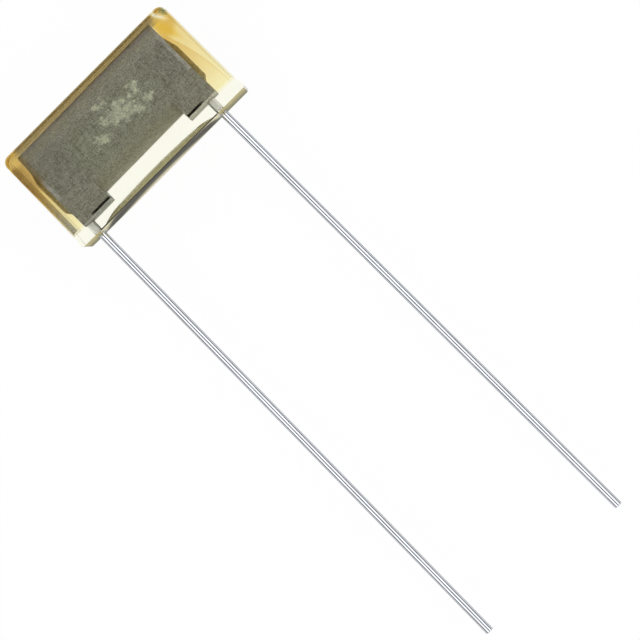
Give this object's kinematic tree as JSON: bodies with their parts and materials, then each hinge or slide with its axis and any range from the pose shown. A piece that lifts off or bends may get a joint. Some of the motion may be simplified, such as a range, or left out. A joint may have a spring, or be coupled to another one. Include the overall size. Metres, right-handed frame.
{
  "type": "box film capacitor",
  "caption": "Small radial film capacitor: a flat wound element cast in a clear amber resin block, with long straight tinned leads.",
  "frame": {"origin": "middle of the bounding box's bottom face, on the surface that the part lies on, with the block's large back face down", "axes": "+X along the block, parallel to the line through both leads; +Y from the lead tips towards the block's closed end; +Z through the block's thickness, up from its back face"},
  "size_m": [0.0134, 0.0401, 0.0039],
  "materials": {
    "resin": "clear amber casting resin, glossy moulded faces",
    "film": "clear amber insulating film",
    "winding": "olive-grey metallised paper roll, slightly mottled",
    "spray_metal": "dull grey sprayed metal and solder",
    "clip_metal": "tinned metal seen through resin",
    "tinned_wire": "bright tinned round wire"
  },
  "bodies": {
    "root": {"resin_casting": "resin", "insulating_film": "film", "wound_roll": "winding", "end_spray_left": "spray_metal", "end_spray_right": "spray_metal", "contact_clip_left": "clip_metal", "contact_clip_right": "clip_metal", "lead_wire_left": "tinned_wire", "lead_wire_right": "tinned_wire"}
  },
  "joints": []
}
